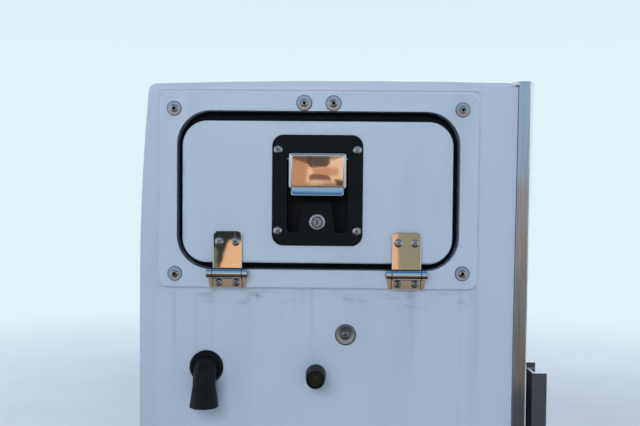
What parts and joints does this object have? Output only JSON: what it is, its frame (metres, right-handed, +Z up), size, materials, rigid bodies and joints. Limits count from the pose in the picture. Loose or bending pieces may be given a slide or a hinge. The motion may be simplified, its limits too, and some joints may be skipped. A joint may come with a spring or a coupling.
{
  "type": "utility truck body side box",
  "caption": "Long moulded side box of a utility truck's body, with a rear hatch for long tools, three side doors and a wheel arch",
  "frame": {"origin": "middle of the base of the bounding box", "axes": "+X from the street side to the cargo side, +Y forward, +Z up"},
  "size_m": [0.594, 2.7824, 1.168],
  "materials": {
    "gelcoat": "white gel-coat, satin to gloss",
    "inner_laminate": "bare moulded inside",
    "seal_rubber": "black sponge rubber",
    "hinge_steel": "polished stainless",
    "latch_black": "black powder coat",
    "shelf_metal": "mill finish",
    "trim_aluminium": "extruded, weathered",
    "channel_steel": "dark grey paint",
    "black_rubber": "moulded rubber",
    "stop_rubber": "weathered rubber",
    "red_lens": "clear red",
    "amber_lens": "clear amber",
    "clear_lens": "clear"
  },
  "bodies": {
    "box": {"hatch_frame": "gelcoat", "hatch_seal": "seal_rubber", "hatch_hinge_leaves": "hinge_steel", "rear_frame": "inner_laminate", "rear_seal": "seal_rubber", "rear_hinge_leaves": "hinge_steel", "middle_frame": "inner_laminate", "middle_seal": "seal_rubber", "middle_hinge_leaves": "hinge_steel", "front_frame": "inner_laminate", "front_seal": "seal_rubber", "front_hinge_leaves": "hinge_steel", "strikers": "hinge_steel", "rear_end": "gelcoat", "front_end": "gelcoat", "top_deck": "gelcoat", "street_side": "gelcoat", "cargo_side": "gelcoat", "rear_divider": "inner_laminate", "front_divider": "inner_laminate", "rear_floor": "inner_laminate", "front_floor": "inner_laminate", "middle_floor": "inner_laminate", "wheel_house": "inner_laminate", "wheel_flare": "black_rubber", "tool_shelf": "inner_laminate", "rear_shelf": "shelf_metal", "front_shelf": "shelf_metal", "shelf_cleats": "shelf_metal", "vent_elbow": "black_rubber", "bumper": "stop_rubber", "lamp_grommets": "black_rubber", "backup_lamp": "clear_lens", "turn_lamp": "amber_lens", "tail_lamp": "red_lens", "corner_trim": "trim_aluminium", "tail_board_channel": "channel_steel", "mounting_angles": "channel_steel"},
    "hatch_door_body": {"hatch_door": "gelcoat", "hatch_hinge_straps": "hinge_steel", "hatch_latch_tray": "latch_black", "hatch_latch_pull": "hinge_steel"},
    "rear_door_body": {"rear_door": "gelcoat", "rear_hinge_straps": "hinge_steel", "rear_latch_tray": "latch_black", "rear_latch_pull": "hinge_steel"},
    "middle_door_body": {"middle_door": "gelcoat", "middle_hinge_straps": "hinge_steel", "middle_latch_tray": "latch_black", "middle_latch_pull": "hinge_steel"},
    "front_door_body": {"front_door": "gelcoat", "front_hinge_straps": "hinge_steel", "front_latch_tray": "latch_black", "front_latch_pull": "hinge_steel"}
  },
  "joints": [
    {"name": "hatch_hinge", "type": "hinge", "parent": "box", "child": "hatch_door_body", "pos_m": [-0.033, -1.3648, 0.9101], "axis": [1, 0, 0], "range_deg": [0, 165]},
    {"name": "rear_hinge", "type": "hinge", "parent": "box", "child": "rear_door_body", "pos_m": [-0.278, -0.7071, 0.4727], "axis": [0, 0, -1], "range_deg": [0, 95]},
    {"name": "middle_hinge", "type": "hinge", "parent": "box", "child": "middle_door_body", "pos_m": [-0.278, -0.0818, 0.5603], "axis": [0, -1, 0], "range_deg": [0, 150]},
    {"name": "front_hinge", "type": "hinge", "parent": "box", "child": "front_door_body", "pos_m": [-0.278, 1.3129, 0.4727], "axis": [0, 0, -1], "range_deg": [0, 95]}
  ]
}
